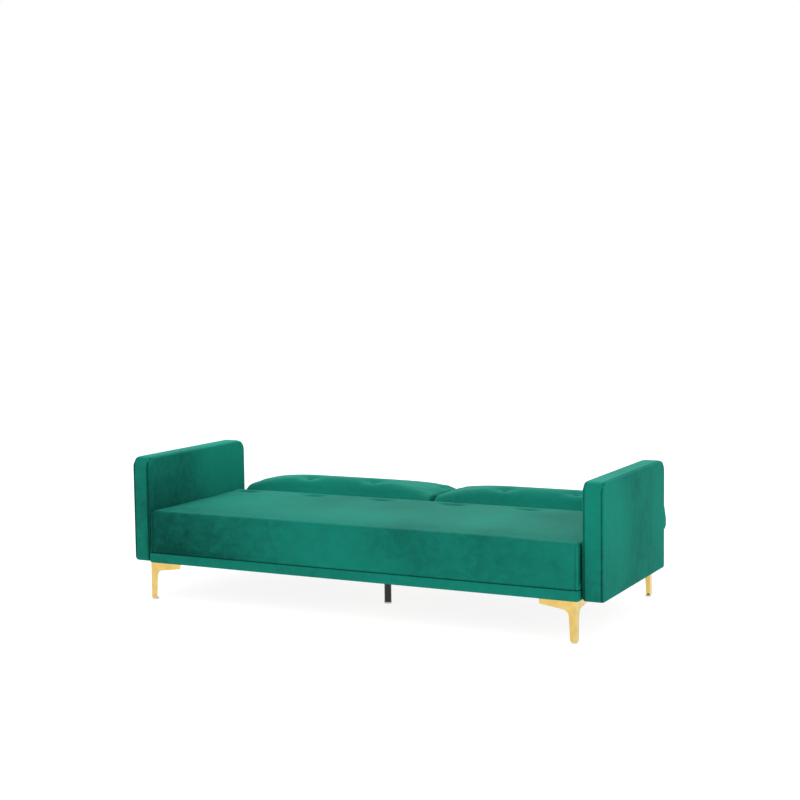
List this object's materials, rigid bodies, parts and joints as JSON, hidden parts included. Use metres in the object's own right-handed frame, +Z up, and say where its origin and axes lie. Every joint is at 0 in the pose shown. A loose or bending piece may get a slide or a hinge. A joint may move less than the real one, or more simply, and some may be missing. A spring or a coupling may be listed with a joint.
{
  "type": "click-clack sofa bed",
  "caption": "Tufted velvet sofa bed on metal legs, laid flat as a bed, with track arms and a split back whose two halves each click up to make a sofa.",
  "frame": {"origin": "on the floor, under the middle of the whole object laid flat", "axes": "+X to the right as seen from the front, along the sofa's width; +Y to the rear; +Z up"},
  "size_m": [2.04, 1.066, 0.583],
  "materials": {
    "velvet": "satin",
    "gold_leg": "polished",
    "black_tube": "satin",
    "glide_plastic": "matte",
    "zinc_fixings": "satin",
    "hinge_steel": "satin",
    "webbing": "matte",
    "felt": "matte",
    "lining_cloth": "matte",
    "pine": "matte"
  },
  "bodies": {
    "root": {"arm_bolts": "zinc_fixings", "arm_left_border": "velvet", "arm_left_frame": "pine", "arm_left_inner_pad": "velvet", "arm_left_outer_pad": "velvet", "arm_right_border": "velvet", "arm_right_frame": "pine", "arm_right_inner_pad": "velvet", "arm_right_outer_pad": "velvet", "arm_spacers": "zinc_fixings", "base_rails": "velvet", "centre_leg": "black_tube", "centre_leg_glide": "glide_plastic", "centre_rail": "pine", "dust_cover": "lining_cloth", "front_rail": "pine", "hinge_bracket_bolts": "zinc_fixings", "hinge_brackets": "hinge_steel", "hinge_pins": "hinge_steel", "left_rail": "pine", "leg_front_left": "gold_leg", "leg_front_right": "gold_leg", "leg_glides": "glide_plastic", "leg_rear_left": "gold_leg", "leg_rear_right": "gold_leg", "leg_screws": "zinc_fixings", "lower_band_front": "velvet", "lower_band_left": "velvet", "lower_band_rear": "velvet", "lower_band_right": "velvet", "pawl_pins": "hinge_steel", "rear_rail": "pine", "right_rail": "pine", "seat_border_front": "velvet", "seat_border_left": "velvet", "seat_border_rear": "velvet", "seat_border_right": "velvet", "seat_buttons": "velvet", "seat_cushion": "velvet", "seat_deck": "felt", "seat_webbing": "webbing", "webbing_clips": "hinge_steel"},
    "back_left": {"back_left_border": "velvet", "back_left_buttons": "velvet", "back_left_cover": "lining_cloth", "back_left_cushion": "velvet", "back_left_frame": "pine", "back_left_hinge_arms": "hinge_steel", "back_left_hinge_bolts": "zinc_fixings", "back_left_slats": "pine"},
    "back_right": {"back_right_border": "velvet", "back_right_buttons": "velvet", "back_right_cover": "lining_cloth", "back_right_cushion": "velvet", "back_right_frame": "pine", "back_right_hinge_arms": "hinge_steel", "back_right_hinge_bolts": "zinc_fixings", "back_right_slats": "pine"},
    "pawls_left": {"pawls_left": "hinge_steel"},
    "pawls_right": {"pawls_right": "hinge_steel"}
  },
  "joints": [
    {"name": "back_left_fold", "type": "hinge", "parent": "root", "child": "back_left", "pos_m": [0, 0.177, 0.335], "axis": [1, 0, 0], "range_deg": [0, 80]},
    {"name": "pawls_left_lift", "type": "hinge", "parent": "root", "child": "pawls_left", "pos_m": [0, 0.153, 0.299], "axis": [1, 0, 0], "range_deg": [0, 12]},
    {"name": "back_right_fold", "type": "hinge", "parent": "root", "child": "back_right", "pos_m": [0, 0.177, 0.335], "axis": [1, 0, 0], "range_deg": [0, 80]},
    {"name": "pawls_right_lift", "type": "hinge", "parent": "root", "child": "pawls_right", "pos_m": [0, 0.153, 0.299], "axis": [1, 0, 0], "range_deg": [0, 12]}
  ]
}
